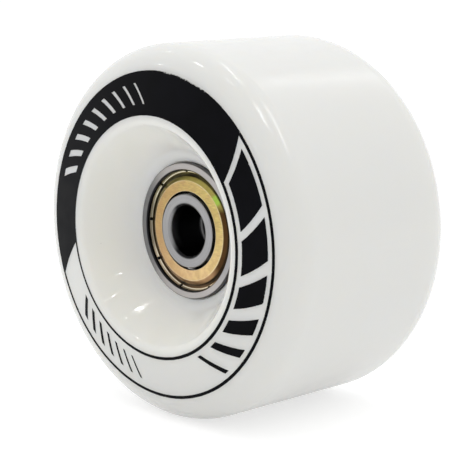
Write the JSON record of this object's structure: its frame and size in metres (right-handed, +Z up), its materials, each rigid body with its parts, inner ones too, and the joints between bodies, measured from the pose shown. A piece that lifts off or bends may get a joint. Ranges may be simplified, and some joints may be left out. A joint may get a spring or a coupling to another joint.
{
  "type": "roller skate wheel",
  "caption": "Cast urethane roller skate wheel with rounded edges and dished sides, on shielded ball bearings with a spacer sleeve, that slides onto an axle and turns freely on it.",
  "frame": {"origin": "middle of the wheel on the axle line", "axes": "+Y along the axle towards the back of the wheel, the printed front looks along -Y, +Z up"},
  "size_m": [0.06, 0.039, 0.06],
  "materials": {
    "urethane": "glossy cast urethane, milky white",
    "print_ink": "black pad-printed ink",
    "ring_steel": "ground bearing steel",
    "ball_steel": "polished bearing steel",
    "shield_yellow_zinc": "pressed sheet, yellow passivated zinc, brushed",
    "cage_steel": "pressed steel ribbon",
    "spacer_aluminium": "turned aluminium"
  },
  "bodies": {
    "clamped_rings": {"bearing_spacer": "spacer_aluminium", "front_inner_ring": "ring_steel", "back_inner_ring": "ring_steel"},
    "wheel": {"tyre": "urethane", "front_outer_ring": "ring_steel", "front_outside_shield": "shield_yellow_zinc", "front_inside_shield": "shield_yellow_zinc", "back_outer_ring": "ring_steel", "back_outside_shield": "shield_yellow_zinc", "back_inside_shield": "shield_yellow_zinc"},
    "front_cage": {"front_cage_tab_half": "cage_steel", "front_cage_plain_half": "cage_steel"},
    "front_ball_1": {"front_ball_1": "ball_steel"},
    "front_ball_2": {"front_ball_2": "ball_steel"},
    "front_ball_3": {"front_ball_3": "ball_steel"},
    "front_ball_4": {"front_ball_4": "ball_steel"},
    "front_ball_5": {"front_ball_5": "ball_steel"},
    "front_ball_6": {"front_ball_6": "ball_steel"},
    "front_ball_7": {"front_ball_7": "ball_steel"},
    "back_cage": {"back_cage_tab_half": "cage_steel", "back_cage_plain_half": "cage_steel"},
    "back_ball_1": {"back_ball_1": "ball_steel"},
    "back_ball_2": {"back_ball_2": "ball_steel"},
    "back_ball_3": {"back_ball_3": "ball_steel"},
    "back_ball_4": {"back_ball_4": "ball_steel"},
    "back_ball_5": {"back_ball_5": "ball_steel"},
    "back_ball_6": {"back_ball_6": "ball_steel"},
    "back_ball_7": {"back_ball_7": "ball_steel"}
  },
  "joints": [
    {"name": "wheel_spin", "type": "hinge", "parent": "clamped_rings", "child": "wheel", "pos_m": [0, 0, 0], "axis": [0, 1, 0], "continuous": true},
    {"name": "front_cage_orbit", "type": "hinge", "parent": "clamped_rings", "child": "front_cage", "pos_m": [0, 0, 0], "axis": [0, 1, 0], "continuous": true},
    {"name": "front_ball_1_roll", "type": "hinge", "parent": "front_cage", "child": "front_ball_1", "pos_m": [0.0075, -0.0085, 0], "axis": [0, 1, 0], "continuous": true},
    {"name": "front_ball_2_roll", "type": "hinge", "parent": "front_cage", "child": "front_ball_2", "pos_m": [0.00468, -0.0085, 0.00586], "axis": [0, 1, 0], "continuous": true},
    {"name": "front_ball_3_roll", "type": "hinge", "parent": "front_cage", "child": "front_ball_3", "pos_m": [-0.00167, -0.0085, 0.00731], "axis": [0, 1, 0], "continuous": true},
    {"name": "front_ball_4_roll", "type": "hinge", "parent": "front_cage", "child": "front_ball_4", "pos_m": [-0.00676, -0.0085, 0.00325], "axis": [0, 1, 0], "continuous": true},
    {"name": "front_ball_5_roll", "type": "hinge", "parent": "front_cage", "child": "front_ball_5", "pos_m": [-0.00676, -0.0085, -0.00325], "axis": [0, 1, 0], "continuous": true},
    {"name": "front_ball_6_roll", "type": "hinge", "parent": "front_cage", "child": "front_ball_6", "pos_m": [-0.00167, -0.0085, -0.00731], "axis": [0, 1, 0], "continuous": true},
    {"name": "front_ball_7_roll", "type": "hinge", "parent": "front_cage", "child": "front_ball_7", "pos_m": [0.00468, -0.0085, -0.00586], "axis": [0, 1, 0], "continuous": true},
    {"name": "back_cage_orbit", "type": "hinge", "parent": "clamped_rings", "child": "back_cage", "pos_m": [0, 0, 0], "axis": [0, 1, 0], "continuous": true},
    {"name": "back_ball_1_roll", "type": "hinge", "parent": "back_cage", "child": "back_ball_1", "pos_m": [0.0075, 0.0085, 0], "axis": [0, 1, 0], "continuous": true},
    {"name": "back_ball_2_roll", "type": "hinge", "parent": "back_cage", "child": "back_ball_2", "pos_m": [0.00468, 0.0085, -0.00586], "axis": [0, 1, 0], "continuous": true},
    {"name": "back_ball_3_roll", "type": "hinge", "parent": "back_cage", "child": "back_ball_3", "pos_m": [-0.00167, 0.0085, -0.00731], "axis": [0, 1, 0], "continuous": true},
    {"name": "back_ball_4_roll", "type": "hinge", "parent": "back_cage", "child": "back_ball_4", "pos_m": [-0.00676, 0.0085, -0.00325], "axis": [0, 1, 0], "continuous": true},
    {"name": "back_ball_5_roll", "type": "hinge", "parent": "back_cage", "child": "back_ball_5", "pos_m": [-0.00676, 0.0085, 0.00325], "axis": [0, 1, 0], "continuous": true},
    {"name": "back_ball_6_roll", "type": "hinge", "parent": "back_cage", "child": "back_ball_6", "pos_m": [-0.00167, 0.0085, 0.00731], "axis": [0, 1, 0], "continuous": true},
    {"name": "back_ball_7_roll", "type": "hinge", "parent": "back_cage", "child": "back_ball_7", "pos_m": [0.00468, 0.0085, 0.00586], "axis": [0, 1, 0], "continuous": true}
  ],
  "couplings": [
    {"joint": "front_cage_orbit", "follows": "wheel_spin", "ratio": 0.6323},
    {"joint": "front_ball_1_roll", "follows": "wheel_spin", "ratio": 1.7573},
    {"joint": "front_ball_2_roll", "follows": "wheel_spin", "ratio": 1.7573},
    {"joint": "front_ball_3_roll", "follows": "wheel_spin", "ratio": 1.7573},
    {"joint": "front_ball_4_roll", "follows": "wheel_spin", "ratio": 1.7573},
    {"joint": "front_ball_5_roll", "follows": "wheel_spin", "ratio": 1.7573},
    {"joint": "front_ball_6_roll", "follows": "wheel_spin", "ratio": 1.7573},
    {"joint": "front_ball_7_roll", "follows": "wheel_spin", "ratio": 1.7573},
    {"joint": "back_cage_orbit", "follows": "wheel_spin", "ratio": 0.6323},
    {"joint": "back_ball_1_roll", "follows": "wheel_spin", "ratio": 1.7573},
    {"joint": "back_ball_2_roll", "follows": "wheel_spin", "ratio": 1.7573},
    {"joint": "back_ball_3_roll", "follows": "wheel_spin", "ratio": 1.7573},
    {"joint": "back_ball_4_roll", "follows": "wheel_spin", "ratio": 1.7573},
    {"joint": "back_ball_5_roll", "follows": "wheel_spin", "ratio": 1.7573},
    {"joint": "back_ball_6_roll", "follows": "wheel_spin", "ratio": 1.7573},
    {"joint": "back_ball_7_roll", "follows": "wheel_spin", "ratio": 1.7573}
  ]
}
